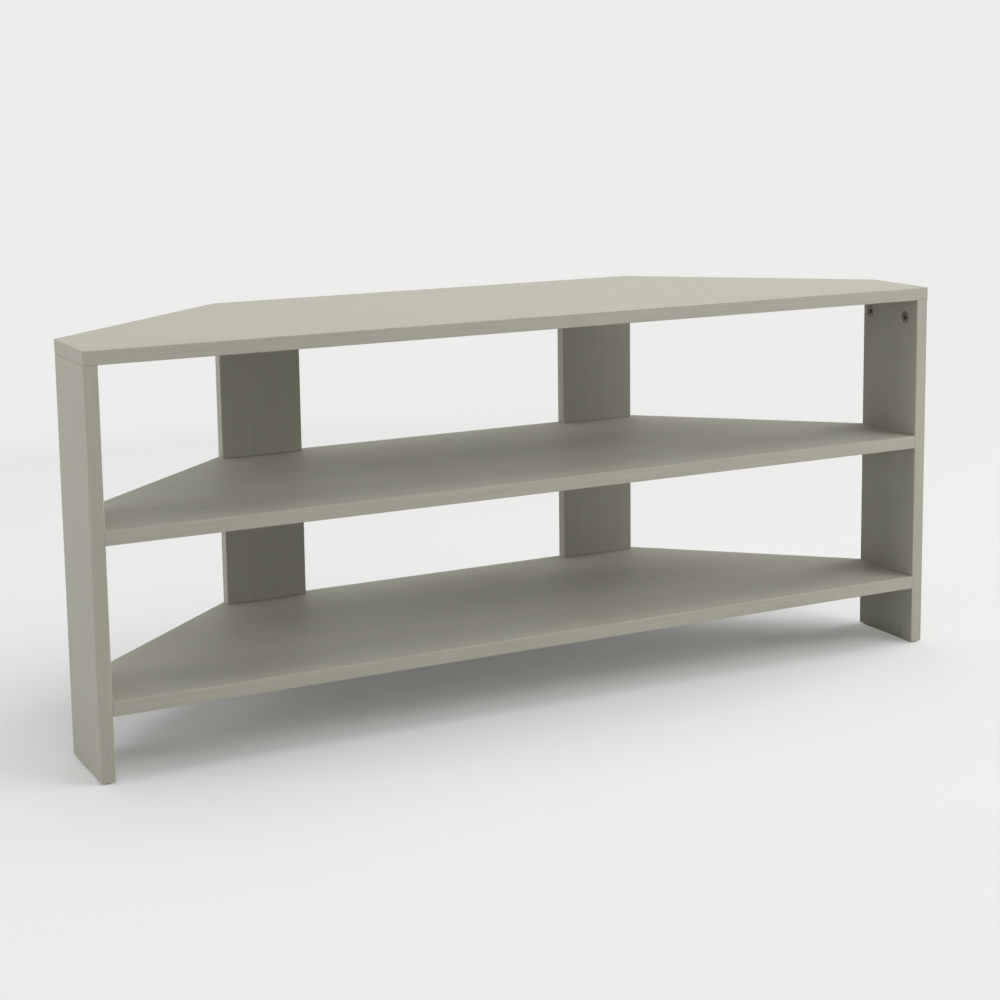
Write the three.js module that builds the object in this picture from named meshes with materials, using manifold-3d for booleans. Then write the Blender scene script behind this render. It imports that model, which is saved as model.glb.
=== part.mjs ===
// Corner television stand, in millimetres.
// Three six-sided boards, two side panels, and two rear posts in three lengths each.
// Cam fittings and dowels hold the boards together, and plastic glides carry them.
// X runs to the right, Y from the front to the back, Z up from the floor.
// The origin is on the floor, under the middle of the stand.
import * as THREE from 'three';
import { mergeVertices } from 'three/addons/utils/BufferGeometryUtils.js';
import Module from 'manifold-3d';

// The whole stand
const WIDTH = 1100;
const DEPTH = 334;
const HEIGHT = 470;
const BACK_WIDTH = 588; // length of the back edge, between the two slanted sides
const BOARD = 16; // thickness of every board
const ARRIS = 0.6; // eased edge of every board

// Side panels, rear posts and shelves
const SIDE_DEPTH = 112;
const POST_WIDTH = 105;
const MIDDLE_SHELF_HEIGHT = 277; // from the floor to the shelf's upper face
const BOTTOM_SHELF_HEIGHT = 90;

// Cam: it turns in the face of one board and draws in the bolt of the next
const FIT_GAP = 0.3; // between a fitting and its bore
const CAM_RADIUS = 7.5;
const CAM_HEIGHT = 12.5;
const CAM_CHAMFER = 0.5;
const CAM_RECESS = 0.3; // how far the cam lies below the board's face
const CAM_SETBACK = 24; // from the joint to the middle of the cam
const CHAMBER_RADIUS = 4.6; // hollow that grips the bolt's head
const CHAMBER_THROW = 0.8; // how far the hollow is off the cam's centre
const LOCK_ANGLE = 150; // degrees from the cam's mouth to the locked bolt
const SLOT_RUN_ON = 42; // degrees that the neck's slot runs on past the bolt
const DRIVE_LENGTH = 9; // cross recess for the screwdriver
const DRIVE_WIDTH = 1.6;
const DRIVE_DEPTH = 2.4;

// Bolt that a cam holds
const HEAD_RADIUS = 3.4;
const NECK_RADIUS = 2;
const NECK_CLEARANCE = 1; // from the cam's side to the full shank
const SHANK_RADIUS = 3;
const BOLT_BORE_RADIUS = 4;
const COLLAR_LENGTH = 1.5;
const THREAD_RADIUS = 2.9;
const THREAD_LENGTH = 11; // depth in the board that the bolt is screwed into
const BOLT_CHAMFER = 0.8;

// Dowels
const DOWEL_RADIUS = 4;
const DOWEL_CHAMFER = 1;
const FLUTE_DEPTH = 0.35;
const DOWEL_IN_FACE = 10; // depth in a board's face
const DOWEL_IN_EDGE = 20; // depth in a board's edge
const DOWEL_IN_POST = 17; // depth in each post, where the dowel passes through a shelf

// Where the fittings sit
const TOP_CAM_FRONT_INSET = 25; // from the side panel's front edge
const TOP_CAM_REAR_INSET = 14; // from the side panel's rear edge
const SHELF_CAM_INSET = 32; // from the shelf's front edge
const SHELF_DOWEL_INSET = 80; // from the shelf's front edge
const POST_CAM_INSET = 32; // from the post's outer edge
const POST_DOWEL_INSET = 32; // from the post's inner edge

// Glides: moulded strips with two pegs pressed into the foot's end
const GLIDE_HEIGHT = 2;
const GLIDE_MARGIN = 2; // left free round the strip
const GLIDE_CHAMFER = 0.5;
const PEG_RADIUS = 3;
const PEG_CHAMFER = 1;
const PEG_LENGTH = 12;
const PEG_INSET = 22; // from each end of the foot

// Facets, and the overrun of cutting shapes
const OVERRUN = 1;
const CAM_FACETS = 12;
const BOLT_FACETS = 10;
const HEAD_STEPS = 3;
const FLUTES = 7;
const CURVE_STEPS = 4;

// Faces and levels that more than one board shares
const FRONT = -DEPTH / 2;
const BACK = DEPTH / 2;
const SIDE_BACK = FRONT + SIDE_DEPTH;
const SIDE_OUTER = WIDTH / 2;
const SIDE_INNER = SIDE_OUTER - BOARD;
const POST_OUTER = BACK_WIDTH / 2;
const POST_INNER = POST_OUTER - POST_WIDTH;
const TOP_UNDERSIDE = HEIGHT - BOARD;
const COLLAR_RADIUS = BOLT_BORE_RADIUS - FIT_GAP;
const BOLT_REACH = CAM_SETBACK - (CHAMBER_RADIUS - CHAMBER_THROW - HEAD_RADIUS - FIT_GAP);

const SIDES = [
  { side: 'left', sign: -1 },
  { side: 'right', sign: 1 },
];
const SHELVES = [
  { level: 'middle', shelfTop: MIDDLE_SHELF_HEIGHT, above: 'upper_post', below: 'lower_post' },
  { level: 'bottom', shelfTop: BOTTOM_SHELF_HEIGHT, above: 'lower_post', below: 'rear_foot' },
];
const UP = new THREE.Vector3(0, 0, 1);
const DOWN = new THREE.Vector3(0, 0, -1);
const TO_BACK = new THREE.Vector3(0, 1, 0);

const GREIGE_BOARD = { color: 0xb4b3a6, roughness: 0.62, metalness: 0 };
const ZINC = { color: 0x9a9b9c, roughness: 0.42, metalness: 1 };
const STEEL = { color: 0xb9b7ae, roughness: 0.35, metalness: 1 };
const BEECH = { color: 0xc9a878, roughness: 0.7, metalness: 0 };
const PLASTIC = { color: 0x8f8d82, roughness: 0.5, metalness: 0 };

const wasm = await Module();
wasm.setup();

// A closed geometry as a solid that can be cut and joined
function toSolid(geometry) {
  const bare = geometry.clone();
  bare.deleteAttribute('normal');
  bare.deleteAttribute('uv');
  const merged = mergeVertices(bare);
  const index = merged.index.array;
  const triangles = [];
  for (let i = 0; i < index.length; i += 3) {
    const [a, b, c] = index.slice(i, i + 3);
    if (a !== b && b !== c && c !== a) {
      triangles.push(a, b, c);
    }
  }
  return new wasm.Manifold(
    new wasm.Mesh({
      numProp: 3,
      vertProperties: new Float32Array(merged.attributes.position.array),
      triVerts: new Uint32Array(triangles),
    }),
  );
}

// A solid's surface as a flat-shaded geometry
function toGeometry(solid) {
  const { vertProperties, triVerts } = solid.getMesh();
  const shared = new THREE.BufferGeometry();
  shared.setAttribute('position', new THREE.BufferAttribute(vertProperties, 3));
  shared.setIndex(new THREE.BufferAttribute(triVerts, 1));
  const geometry = shared.toNonIndexed();
  geometry.computeVertexNormals();
  return geometry;
}

function cut(geometry, cutters) {
  return toGeometry(cutters.reduce((rest, cutter) => rest.subtract(toSolid(cutter)), toSolid(geometry)));
}

function join(geometries) {
  const [first, ...others] = geometries.map(toSolid);
  return toGeometry(others.reduce((whole, other) => whole.add(other), first));
}

// Turned body round Z, from [radius, height] pairs that start and end on the axis
function turned(profile, facets) {
  const points = profile.map(([radius, height]) => new THREE.Vector2(radius, height));
  return new THREE.LatheGeometry(points, facets).rotateX(Math.PI / 2);
}

function rod(radius, from, to, facets) {
  return turned([[0, from], [radius, from], [radius, to], [0, to]], facets);
}

// An outline in XY raised from one height to another, with a chamfer round both rims
function prism(shape, from, to, chamfer) {
  const geometry = new THREE.ExtrudeGeometry(shape, {
    depth: to - from - 2 * chamfer,
    bevelEnabled: chamfer > 0,
    bevelThickness: chamfer,
    bevelSize: chamfer,
    bevelOffset: -chamfer,
    bevelSegments: 1,
    curveSegments: CURVE_STEPS,
  });
  return geometry.translate(0, 0, from + chamfer);
}

function outline(points) {
  return new THREE.Shape(points.map(([x, y]) => new THREE.Vector2(x, y)));
}

function rectangle(left, right, low, high) {
  return outline([[left, low], [right, low], [right, high], [left, high]]);
}

// Six-sided plan of the top or of a shelf, alike on both sides of the middle
function cornerPlan(halfFront) {
  const rightHalf = [[halfFront, FRONT], [halfFront, SIDE_BACK], [POST_OUTER, BACK]];
  const leftHalf = rightHalf.map(([x, y]) => [-x, y]).reverse();
  return outline([...rightHalf, ...leftHalf]);
}

// Board lying flat with its upper face at the given height
function lyingBoard(halfFront, topFace) {
  return prism(cornerPlan(halfFront), topFace - BOARD, topFace, ARRIS);
}

// Board standing with its faces to the left and right
function sidewaysBoard(low, high, left) {
  const board = prism(rectangle(FRONT, SIDE_BACK, low, high), left, left + BOARD, ARRIS);
  const turn = new THREE.Matrix4().makeBasis(TO_BACK, UP, new THREE.Vector3(1, 0, 0));
  return board.applyMatrix4(turn);
}

// Board standing at the back with its faces to the front and back
function rearBoard(low, high, left) {
  const board = prism(rectangle(left, left + POST_WIDTH, low, high), -BACK, BOARD - BACK, ARRIS);
  const turn = new THREE.Matrix4().makeBasis(new THREE.Vector3(1, 0, 0), UP, new THREE.Vector3(0, -1, 0));
  return board.applyMatrix4(turn);
}

// Frame of a joint: Z goes into the edge of one board, Y to the face that its cam opens on
function jointFrame(x, y, z, intoEdge, camFace) {
  const across = new THREE.Vector3().crossVectors(camFace, intoEdge);
  return new THREE.Matrix4().makeBasis(across, camFace, intoEdge).setPosition(x, y, z);
}

// Cam with its face at height 0 and the bolt coming in from -Z, gripped in the turned chamber
function camBody() {
  const rim = CAM_RADIUS - CAM_CHAMFER;
  const profile = [
    [0, -CAM_HEIGHT],
    [rim, -CAM_HEIGHT],
    [CAM_RADIUS, CAM_CHAMFER - CAM_HEIGHT],
    [CAM_RADIUS, -CAM_CHAMFER],
    [rim, 0],
    [0, 0],
  ];
  const toY = -Math.PI / 2;
  const boltLevel = CAM_RECESS - BOARD / 2;
  const headRoom = HEAD_RADIUS + FIT_GAP;
  const neckRoom = NECK_RADIUS + FIT_GAP;
  const reach = CAM_RADIUS + OVERRUN;
  const turn = THREE.MathUtils.degToRad(LOCK_ANGLE);
  const runOn = THREE.MathUtils.degToRad(SLOT_RUN_ON);

  const body = turned(profile, CAM_FACETS).rotateX(toY);
  const chamber = rod(CHAMBER_RADIUS, -headRoom, headRoom, CAM_FACETS).rotateX(toY);
  chamber.translate(0, boltLevel, CHAMBER_THROW);
  const mouth = new THREE.BoxGeometry(2 * headRoom, 2 * headRoom, reach);
  mouth.translate(0, boltLevel, -reach / 2).rotateY(turn);

  const sector = new THREE.Shape();
  sector.moveTo(0, 0);
  sector.absarc(0, 0, reach, Math.PI / 2 - runOn, Math.PI / 2 + turn, false);
  const neckSlot = prism(sector, -neckRoom, neckRoom, 0).rotateX(toY).translate(0, boltLevel, 0);

  const drive = [turn, turn + Math.PI / 2].map((angle) => {
    const blade = new THREE.BoxGeometry(DRIVE_LENGTH, DRIVE_DEPTH + OVERRUN, DRIVE_WIDTH);
    return blade.translate(0, (OVERRUN - DRIVE_DEPTH) / 2, 0).rotateY(angle);
  });
  return cut(body, [chamber, mouth, neckSlot, ...drive]);
}

// Outline of the bolt's end that a cam grips, from the shank to the tip of the head
function headProfile(joint) {
  const neckStart = joint + CAM_SETBACK - CAM_RADIUS - NECK_CLEARANCE;
  const headCentre = joint + BOLT_REACH;
  const firstAngle = -Math.acos(NECK_RADIUS / HEAD_RADIUS);
  const profile = [
    [SHANK_RADIUS, neckStart - (SHANK_RADIUS - NECK_RADIUS)],
    [NECK_RADIUS, neckStart],
  ];
  for (let step = 0; step < HEAD_STEPS; step += 1) {
    const angle = firstAngle + ((Math.PI / 2 - firstAngle) * step) / HEAD_STEPS;
    profile.push([HEAD_RADIUS * Math.cos(angle), headCentre + HEAD_RADIUS * Math.sin(angle)]);
  }
  profile.push([0, headCentre + HEAD_RADIUS]);
  return profile;
}

// Bolt screwed into a face at height 0, with its head up in the cam
function screwBolt() {
  const profile = [
    [0, -THREAD_LENGTH],
    [THREAD_RADIUS - BOLT_CHAMFER, -THREAD_LENGTH],
    [THREAD_RADIUS, BOLT_CHAMFER - THREAD_LENGTH],
    [THREAD_RADIUS, FIT_GAP],
    [COLLAR_RADIUS, FIT_GAP],
    [COLLAR_RADIUS, FIT_GAP + COLLAR_LENGTH],
    [SHANK_RADIUS, FIT_GAP + COLLAR_LENGTH],
    ...headProfile(0),
  ];
  return turned(profile, BOLT_FACETS);
}

// Double-ended bolt through a shelf, with a head in a cam above and in one below
function throughBolt() {
  const shelfFace = BOARD / 2;
  const upperHalf = [
    [COLLAR_RADIUS, shelfFace + COLLAR_LENGTH],
    [SHANK_RADIUS, shelfFace + COLLAR_LENGTH],
    ...headProfile(shelfFace),
  ];
  const lowerHalf = upperHalf.map(([radius, height]) => [radius, -height]).reverse();
  return turned([...lowerHalf, ...upperHalf], BOLT_FACETS);
}

// Fluted dowel along Z
function dowel(from, to) {
  const points = [];
  for (let i = 0; i < 2 * FLUTES; i += 1) {
    const radius = i % 2 ? DOWEL_RADIUS - FLUTE_DEPTH : DOWEL_RADIUS;
    const angle = (Math.PI * i) / FLUTES;
    points.push([radius * Math.cos(angle), radius * Math.sin(angle)]);
  }
  return prism(outline(points), from + FIT_GAP, to - FIT_GAP, DOWEL_CHAMFER);
}

// Glide along X for a foot of the given length, with its pegs standing up
function glideBody(footLength) {
  const radius = BOARD / 2 - GLIDE_MARGIN;
  const straight = footLength / 2 - GLIDE_MARGIN - radius;
  const strip = new THREE.Shape();
  strip.absarc(straight, 0, radius, -Math.PI / 2, Math.PI / 2, false);
  strip.absarc(-straight, 0, radius, Math.PI / 2, 1.5 * Math.PI, false);
  const base = prism(strip, 0, GLIDE_HEIGHT, GLIDE_CHAMFER);
  const tip = GLIDE_HEIGHT + PEG_LENGTH;
  const pegProfile = [
    [0, GLIDE_HEIGHT / 2],
    [PEG_RADIUS, GLIDE_HEIGHT / 2],
    [PEG_RADIUS, tip - PEG_CHAMFER],
    [PEG_RADIUS - PEG_CHAMFER, tip],
    [0, tip],
  ];
  const pegs = pegPlaces(footLength).map((x) => turned(pegProfile, BOLT_FACETS).translate(x, 0, 0));
  return join([base, ...pegs]);
}

function pegPlaces(footLength) {
  const place = footLength / 2 - PEG_INSET;
  return [-place, place];
}

const stand = new THREE.Group();
const boresOf = {};

function addPiece(name, geometry, finish, frame) {
  const mesh = new THREE.Mesh(geometry, new THREE.MeshStandardMaterial(finish));
  mesh.name = name;
  mesh.applyMatrix4(frame);
  stand.add(mesh);
}

// Keeps a bore, given in a joint's frame, for the board that it is drilled in
function drill(board, bore, frame) {
  boresOf[board] = boresOf[board] || [];
  boresOf[board].push(bore.applyMatrix4(frame));
}

function addBoard(name, geometry) {
  addPiece(name, cut(geometry, boresOf[name]), GREIGE_BOARD, new THREE.Matrix4());
}

// Cam in one board's face, over the bore that the bolt enters by that board's edge
function fitCam(name, board, frame) {
  const faceLevel = BOARD / 2 - CAM_RECESS;
  const boreFloor = faceLevel - CAM_HEIGHT - FIT_GAP;
  const camBore = rod(CAM_RADIUS + FIT_GAP, boreFloor, BOARD / 2 + OVERRUN, CAM_FACETS);
  drill(board, camBore.rotateX(-Math.PI / 2).translate(0, 0, CAM_SETBACK), frame);
  drill(board, rod(BOLT_BORE_RADIUS, -OVERRUN, CAM_SETBACK, BOLT_FACETS), frame);
  const seat = new THREE.Matrix4().makeTranslation(0, faceLevel, CAM_SETBACK);
  addPiece(name, camBody(), ZINC, frame.clone().multiply(seat));
}

function fitScrewBolt(name, board, frame) {
  const depth = THREAD_LENGTH + FIT_GAP;
  drill(board, rod(THREAD_RADIUS + FIT_GAP, -depth, OVERRUN, BOLT_FACETS), frame);
  addPiece(name, screwBolt(), STEEL, frame);
}

// Dowel between one board's face, below height 0, and the other's edge
function fitDowel(name, faceBoard, edgeBoard, frame) {
  const radius = DOWEL_RADIUS + FIT_GAP;
  drill(faceBoard, rod(radius, -DOWEL_IN_FACE, OVERRUN, BOLT_FACETS), frame);
  drill(edgeBoard, rod(radius, -OVERRUN, DOWEL_IN_EDGE, BOLT_FACETS), frame);
  addPiece(name, dowel(-DOWEL_IN_FACE, DOWEL_IN_EDGE), BEECH, frame);
}

function fitGlide(name, board, footLength, frame) {
  const boreTop = GLIDE_HEIGHT + PEG_LENGTH + FIT_GAP;
  for (const x of pegPlaces(footLength)) {
    const bore = rod(PEG_RADIUS + FIT_GAP, GLIDE_HEIGHT - OVERRUN, boreTop, BOLT_FACETS);
    drill(board, bore.translate(x, 0, 0), frame);
  }
  addPiece(name, glideBody(footLength), PLASTIC, frame);
}

// Side panel to top: two cams in the panel's inner face and a dowel between them
function joinSideToTop(side, sign) {
  const panel = `${side}_side_panel`;
  const inward = new THREE.Vector3(-sign, 0, 0);
  const x = sign * (SIDE_OUTER - BOARD / 2);
  const camPlaces = { front: FRONT + TOP_CAM_FRONT_INSET, rear: SIDE_BACK - TOP_CAM_REAR_INSET };
  for (const [place, y] of Object.entries(camPlaces)) {
    const frame = jointFrame(x, y, TOP_UNDERSIDE, DOWN, inward);
    fitCam(`${side}_top_${place}_cam`, panel, frame);
    fitScrewBolt(`${side}_top_${place}_bolt`, 'top_board', frame);
  }
  const between = (camPlaces.front + camPlaces.rear) / 2;
  fitDowel(`${side}_top_dowel`, 'top_board', panel, jointFrame(x, between, TOP_UNDERSIDE, DOWN, inward));
}

// Shelf to side panel: a cam in the shelf's underside and a dowel behind it
function joinShelfToSide(side, sign, level, shelfTop) {
  const shelf = `${level}_shelf`;
  const panel = `${side}_side_panel`;
  const inward = new THREE.Vector3(-sign, 0, 0);
  const x = sign * SIDE_INNER;
  const z = shelfTop - BOARD / 2;
  const camFrame = jointFrame(x, FRONT + SHELF_CAM_INSET, z, inward, DOWN);
  fitCam(`${side}_${shelf}_cam`, shelf, camFrame);
  fitScrewBolt(`${side}_${shelf}_bolt`, panel, camFrame);
  const dowelFrame = jointFrame(x, FRONT + SHELF_DOWEL_INSET, z, inward, DOWN);
  fitDowel(`${side}_${shelf}_dowel`, panel, shelf, dowelFrame);
}

// Rear posts' fittings lie in the middle of the board, and their cams open at the back
function postFrame(x, z, intoEdge) {
  return jointFrame(x, BACK - BOARD / 2, z, intoEdge, TO_BACK);
}

function joinPostToTop(side, camX, dowelX) {
  const post = `${side}_upper_post`;
  const frame = postFrame(camX, TOP_UNDERSIDE, DOWN);
  fitCam(`${post}_top_cam`, post, frame);
  fitScrewBolt(`${post}_bolt`, 'top_board', frame);
  fitDowel(`${post}_dowel`, 'top_board', post, postFrame(dowelX, TOP_UNDERSIDE, DOWN));
}

// Posts above and below a shelf: a double-ended bolt and a long dowel pass through it
function joinPostsThroughShelf(side, camX, dowelX, { level, shelfTop, above, below }) {
  const shelf = `${level}_shelf`;
  const upper = `${side}_${above}`;
  const lower = `${side}_${below}`;
  const underside = shelfTop - BOARD;
  const middle = shelfTop - BOARD / 2;
  const half = BOARD / 2 + OVERRUN;
  fitCam(`${upper}_bottom_cam`, upper, postFrame(camX, shelfTop, UP));
  fitCam(`${lower}_top_cam`, lower, postFrame(camX, underside, DOWN));
  drill(shelf, rod(BOLT_BORE_RADIUS, -half, half, BOLT_FACETS), postFrame(camX, middle, UP));
  addPiece(`${side}_${level}_through_bolt`, throughBolt(), STEEL, postFrame(camX, middle, UP));

  const radius = DOWEL_RADIUS + FIT_GAP;
  const end = BOARD / 2 + DOWEL_IN_POST;
  for (const board of [upper, shelf, lower]) {
    drill(board, rod(radius, -end, end, BOLT_FACETS), postFrame(dowelX, middle, UP));
  }
  addPiece(`${side}_${level}_through_dowel`, dowel(-end, end), BEECH, postFrame(dowelX, middle, UP));
}

function addGlides(side, sign) {
  const alongPanel = jointFrame(sign * (SIDE_OUTER - BOARD / 2), (FRONT + SIDE_BACK) / 2, 0, UP, TO_BACK);
  const alongPanelTurned = alongPanel.multiply(new THREE.Matrix4().makeRotationZ(Math.PI / 2));
  fitGlide(`${side}_side_glide`, `${side}_side_panel`, SIDE_DEPTH, alongPanelTurned);
  const footX = (sign * (POST_OUTER + POST_INNER)) / 2;
  fitGlide(`${side}_rear_glide`, `${side}_rear_foot`, POST_WIDTH, postFrame(footX, 0, UP));
}

function addSide(side, sign) {
  const camX = sign * (POST_OUTER - POST_CAM_INSET);
  const dowelX = sign * (POST_INNER + POST_DOWEL_INSET);
  joinSideToTop(side, sign);
  joinPostToTop(side, camX, dowelX);
  for (const shelf of SHELVES) {
    joinShelfToSide(side, sign, shelf.level, shelf.shelfTop);
    joinPostsThroughShelf(side, camX, dowelX, shelf);
  }
  addGlides(side, sign);

  const panelLeft = sign > 0 ? SIDE_INNER : -SIDE_OUTER;
  const postLeft = sign > 0 ? POST_INNER : -POST_OUTER;
  addBoard(`${side}_side_panel`, sidewaysBoard(GLIDE_HEIGHT, TOP_UNDERSIDE, panelLeft));
  addBoard(`${side}_upper_post`, rearBoard(MIDDLE_SHELF_HEIGHT, TOP_UNDERSIDE, postLeft));
  addBoard(`${side}_lower_post`, rearBoard(BOTTOM_SHELF_HEIGHT, MIDDLE_SHELF_HEIGHT - BOARD, postLeft));
  addBoard(`${side}_rear_foot`, rearBoard(GLIDE_HEIGHT, BOTTOM_SHELF_HEIGHT - BOARD, postLeft));
}

for (const { side, sign } of SIDES) {
  addSide(side, sign);
}
addBoard('top_board', lyingBoard(SIDE_OUTER, HEIGHT));
for (const { level, shelfTop } of SHELVES) {
  addBoard(`${level}_shelf`, lyingBoard(SIDE_INNER, shelfTop));
}

export default stand;
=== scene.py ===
import math

import bpy
from mathutils import Matrix, Vector


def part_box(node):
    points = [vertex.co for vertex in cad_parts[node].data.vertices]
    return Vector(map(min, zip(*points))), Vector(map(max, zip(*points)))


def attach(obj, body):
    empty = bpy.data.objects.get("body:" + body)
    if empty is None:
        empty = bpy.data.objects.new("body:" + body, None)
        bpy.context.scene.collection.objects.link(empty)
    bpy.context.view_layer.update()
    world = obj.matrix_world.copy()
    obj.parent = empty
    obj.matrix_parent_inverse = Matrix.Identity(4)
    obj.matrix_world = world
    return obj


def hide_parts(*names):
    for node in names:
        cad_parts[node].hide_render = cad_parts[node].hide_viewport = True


bl_info = {
    "name": "Corner television stand",
    "version": (1, 0, 0),
    "blender": (4, 5, 0),
    "location": "3D View > Sidebar > Stand",
    "description": "Finishes the boards and fittings of an open corner stand and lights it in a studio",
    "category": "Object",
}

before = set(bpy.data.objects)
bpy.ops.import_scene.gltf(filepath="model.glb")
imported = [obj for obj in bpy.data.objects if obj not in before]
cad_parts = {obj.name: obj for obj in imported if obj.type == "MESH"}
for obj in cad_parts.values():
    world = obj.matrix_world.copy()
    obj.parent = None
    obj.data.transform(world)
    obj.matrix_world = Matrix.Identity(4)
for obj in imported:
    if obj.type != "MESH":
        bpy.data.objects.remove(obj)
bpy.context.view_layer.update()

MM = 0.001
X, Y, Z = Vector((1, 0, 0)), Vector((0, 1, 0)), Vector((0, 0, 1))

# Kinds of node that are used often
MATH = "ShaderNodeMath"
VECTOR = "ShaderNodeVectorMath"
XYZ = "ShaderNodeCombineXYZ"
RANGE = "ShaderNodeMapRange"
MIX = "ShaderNodeMix"
BUMP = "ShaderNodeBump"
SURFACE = "ShaderNodeBsdfPrincipled"
# Sockets of a colour mix: the second colour's share, both colours, and the colour that comes out
SHARE, FIRST, SECOND, MIXED = 0, 6, 7, 2

# How much each pattern adds to the tone of the boards' printed paper
STREAK_SHARE, SPECKLE_SHARE, CLOUD_SHARE = 0.6, 0.2, 0.2
# Height of the paper's streaks, against 1 for its pores
STREAK_RELIEF = 0.6
# How squarely a board's surface looks through its thickness: 1 on a face, 0 on the band round it. Less than
# the first value is band, and what lies within reach of the middle value is the eased edge.
BAND_BELOW = 0.4
ARRIS_MIDDLE, ARRIS_REACH = math.sqrt(0.5), 0.15
# Stretches of the patterns' values that are used. Plain noise stays near the middle of 0 to 1.
PRINT_STRETCH = (0.34, 0.66)
RUB_STRETCH = (0.42, 0.62)
CLOUD_STRETCH = (0.3, 0.7)
METAL_STRETCH = (0.35, 0.65)
BEECH_STRETCH = (0.72, 1.2)  # two patterns added
# How far an edge turns to its pale tone, from its least to its most rubbed places (wear, and a painted
# highlight along the edge), and what wear adds to its roughness
EDGE_WEAR_AND_HIGHLIGHT, WEAR_ROUGHER = (0.15, 0.85), -0.12
BOARD_ROUGHNESS = (0.52, 0.62)
# Roughness where a finish's pattern is 0, and what the pattern adds where it is 1
ZINC_ROUGHNESS, ZINC_ROUGHER = 0.5, 0.2
PLATING_ROUGHNESS, PLATING_ROUGHER = 0.2, 0.2
BEECH_ROUGHNESS, BEECH_ROUGHER = 0.62, 0.15
GLIDE_ROUGHNESS, GLIDE_ROUGHER = 0.42, 0.25

# Sizes of the patterns on the fittings
ZINC_FLOW, ZINC_GRAIN = 2.2 * MM, 0.35 * MM
COAT_PATCH = 3 * MM
FLECK_WIDTH = 0.5 * MM
SCUFF = (6 * MM, 1.5 * MM, 1.5 * MM)
# A scuffed glide is pale up to the first height above the floor, and less and less up to the second
SCUFF_FULL, SCUFF_NONE = 0.1 * MM, 0.7 * MM
GRAIN_IN_SCUFFS = 0.2
# How many times longer than wide the turning marks and the growth rings are
TURNING_LENGTHS, RING_LENGTHS = 40, 60

# Facets of the cam's pit, the distance at which two points are one, and the angle below which the faces of
# a cam are shaded as one
PIT_FACETS = 24
SAME_POINT = 0.001 * MM
SMOOTH_BELOW = math.radians(28)

# Floor: radius in metres, and how many sides its outline has
FLOOR_RADIUS, FLOOR_SIDES = 6, 64
# In metres: the floor's mottle, how far beside the footprint its shadow thins out, and the distances from the
# middle between which it turns into the backdrop
FLOOR_MOTTLE = 0.25
SHADOW_FADE = 0.45
FADE_START, FADE_END = 0.9, 2.1
# Width of the camera's frame, in millimetres
FRAME_WIDTH = 36

# Boards by how they lie: the way through their thickness, the way their pattern runs, and their names
BOARDS = {
    "lying": (Z, X, ("top_board", "middle_shelf", "bottom_shelf")),
    "side": (X, Z, ("left_side_panel", "right_side_panel")),
    "rear": (Y, Z, tuple(
        f"{side}_{post}" for side in ("left", "right") for post in ("upper_post", "lower_post", "rear_foot")
    )),
}
# Bolts and dowels that stand upright, and those that lie along X
UPRIGHT_BOLTS = (
    "top_front_bolt", "top_rear_bolt", "upper_post_bolt", "middle_through_bolt", "bottom_through_bolt")
LYING_BOLTS = ("middle_shelf_bolt", "bottom_shelf_bolt")
UPRIGHT_DOWELS = ("top_dowel", "upper_post_dowel", "middle_through_dowel", "bottom_through_dowel")
LYING_DOWELS = ("middle_shelf_dowel", "bottom_shelf_dowel")
# Glides, under the side panels and under the rear feet
GLIDES = ("side_glide", "rear_glide")
# Cams by their joint: the way the face looks and the way from the joint into the board's edge.
# "inward" is towards the middle of the stand.
CAMS = {
    "top_front_cam": ("inward", "down"),
    "top_rear_cam": ("inward", "down"),
    "middle_shelf_cam": ("down", "inward"),
    "bottom_shelf_cam": ("down", "inward"),
    "upper_post_top_cam": ("back", "down"),
    "upper_post_bottom_cam": ("back", "up"),
    "lower_post_top_cam": ("back", "down"),
    "lower_post_bottom_cam": ("back", "up"),
    "rear_foot_top_cam": ("back", "down"),
}


def linear_rgb(hex_code):
    """An sRGB hex colour as linear red, green and blue."""
    channels = [int(hex_code[i:i + 2], 16) / 255 for i in (0, 2, 4)]
    return tuple(c / 12.92 if c <= 0.04045 else ((c + 0.055) / 1.055) ** 2.4 for c in channels)


def colour(name, hex_code, description):
    """Setting for a colour, given in sRGB."""
    return bpy.props.FloatVectorProperty(
        name=name, description=description, default=linear_rgb(hex_code),
        subtype="COLOR", size=3, min=0, max=1)


def length(name, millimetres, description):
    """Setting for a length, given in millimetres."""
    return bpy.props.FloatProperty(
        name=name, description=description, default=millimetres * MM,
        unit="LENGTH", subtype="DISTANCE", precision=5)


def angle(name, radians, description):
    """Setting for an angle, given in radians."""
    return bpy.props.FloatProperty(
        name=name, description=description, default=radians,
        unit="ROTATION", subtype="ANGLE", precision=5)


class BoardFinish(bpy.types.PropertyGroup):
    """Look of the melamine-faced boards"""
    shade_dark: colour("Darker tone", "9D9C8F", "Darker tone of the board's face")
    shade_light: colour("Lighter tone", "A8A699", "Lighter tone of the board's face")
    band_dark: colour("Band, darker tone", "9C9B8E", "Darker tone of the edge band")
    band_light: colour("Band, lighter tone", "A7A598", "Lighter tone of the edge band")
    # The pale eased edge is partly wear and partly a painted highlight along the edge
    worn_highlit_edge: colour("Worn edge", "ABA99C", "Tone of the eased edge where hands and cloths have rubbed it")
    streak_width: length("Streak width", 2.6, "Width of the faint streaks in the pressed pattern")
    streak_length: length("Streak length", 190, "Length of the faint streaks in the pressed pattern")
    # Real pores are finer. These are about a pixel of the render wide, because finer ones don't show.
    speckle: length("Speckle", 1.3, "Size of the pores that the press plate leaves in the face")
    cloud: length("Cloud", 160, "Size of the slow changes of tone across a board")
    # The rubbed stretches also carry the painted highlight along the edge
    rub_and_highlight: length("Rub", 24, "Length of a rubbed stretch along an edge")


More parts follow.
